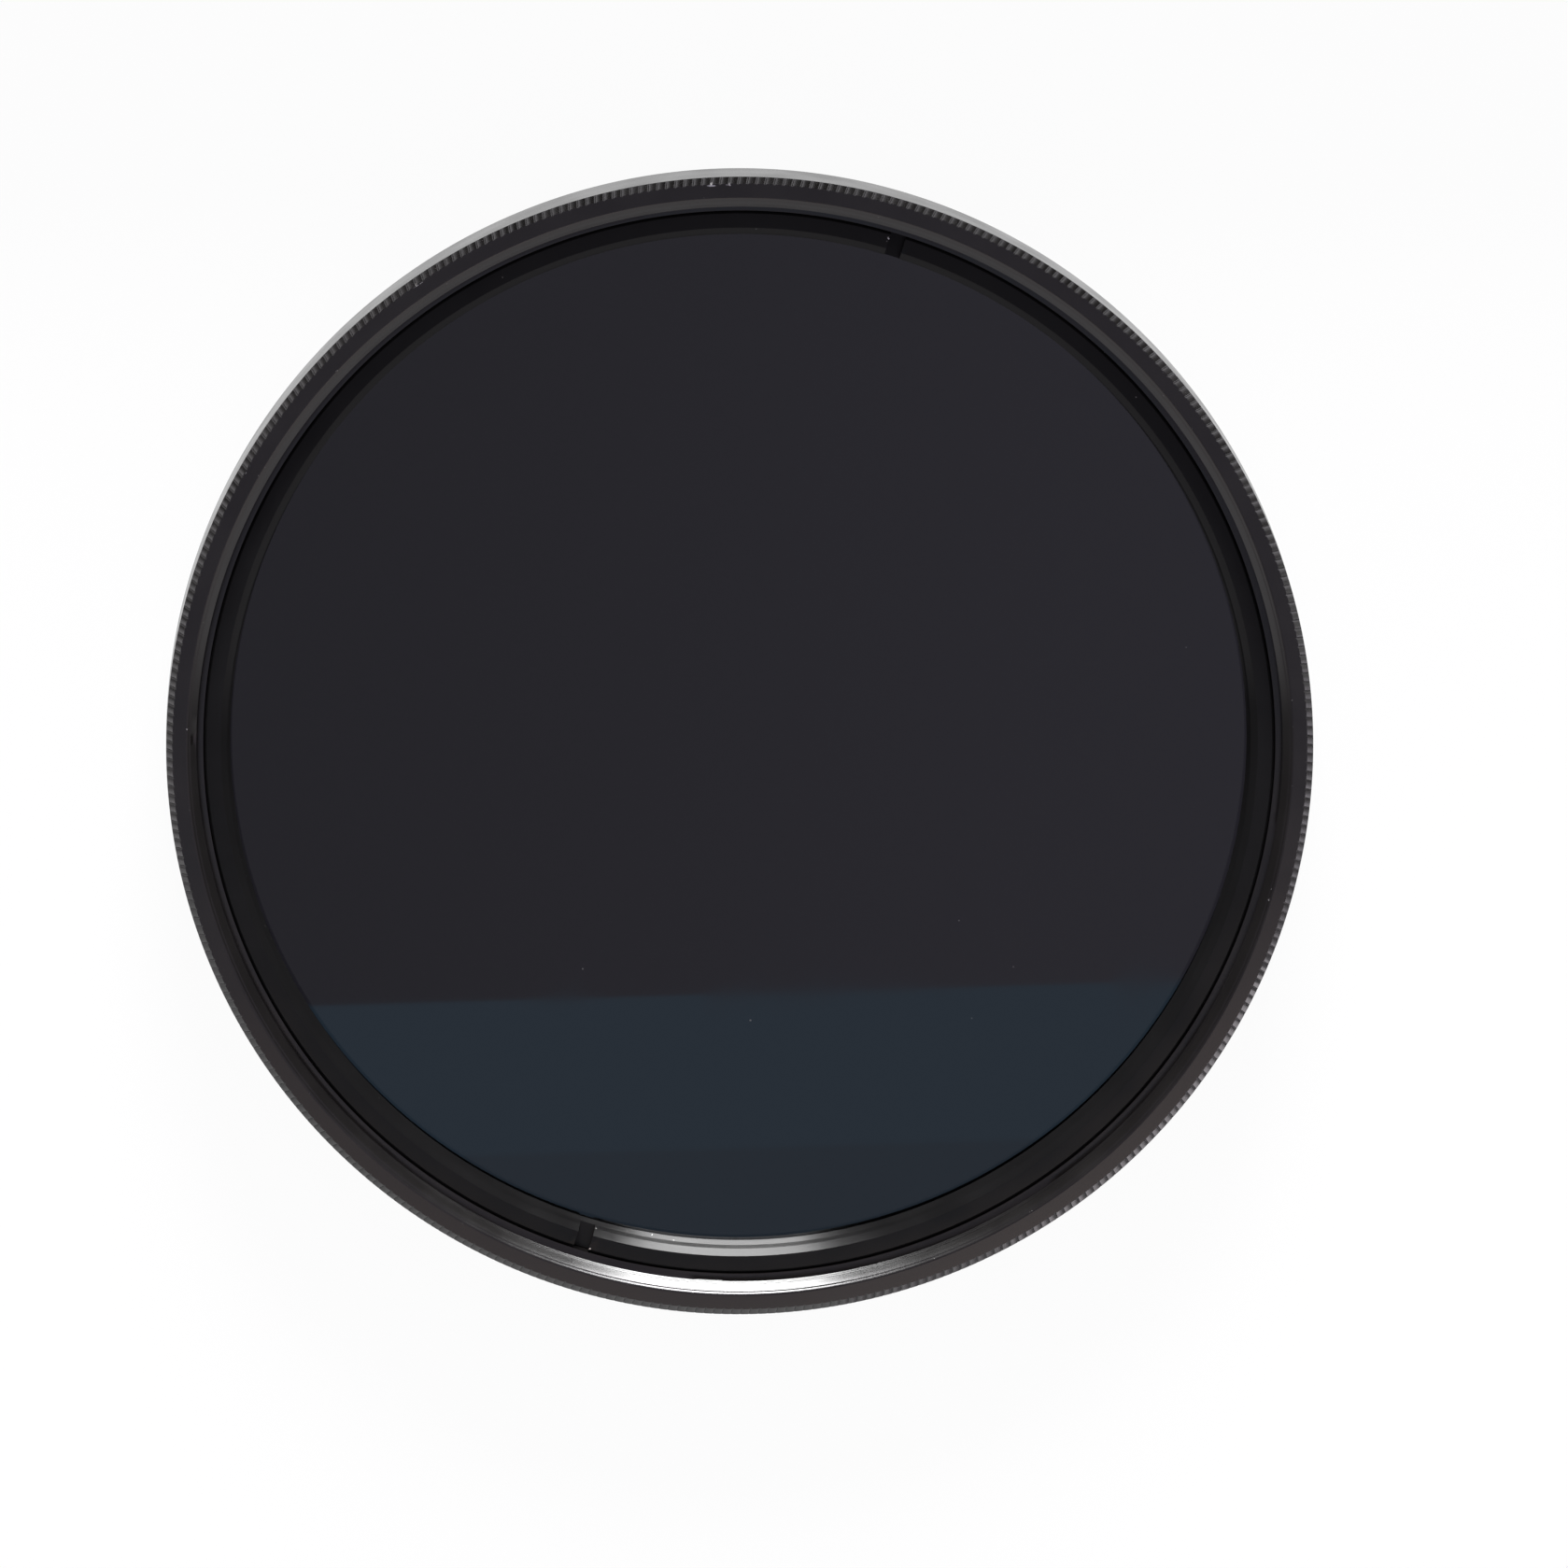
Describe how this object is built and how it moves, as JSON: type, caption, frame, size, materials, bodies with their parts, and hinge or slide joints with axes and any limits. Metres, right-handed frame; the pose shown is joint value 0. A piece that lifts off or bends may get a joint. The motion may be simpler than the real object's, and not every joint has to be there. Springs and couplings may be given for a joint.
{
  "type": "screw-in lens filter",
  "caption": "Round dark glass filter in a thin knurled black ring, with a male thread at the rear to screw on a lens and a female thread in front for a cap or another filter.",
  "frame": {"origin": "centre of the rear end of the male thread, which the filter lies on", "axes": "+Z along the optical axis, towards the front; +Y is up in the picture's view of the front"},
  "size_m": [0.0804, 0.0804, 0.0084],
  "materials": {
    "ring_anodise": "satin black anodised, turned, with worn edges",
    "dark_glass": "polished dark neutral glass with a coating",
    "retainer_anodise": "matt black anodised, turned"
  },
  "bodies": {
    "root": {"filter_ring": "ring_anodise", "nd_glass": "dark_glass", "retaining_ring": "retainer_anodise"}
  },
  "joints": []
}
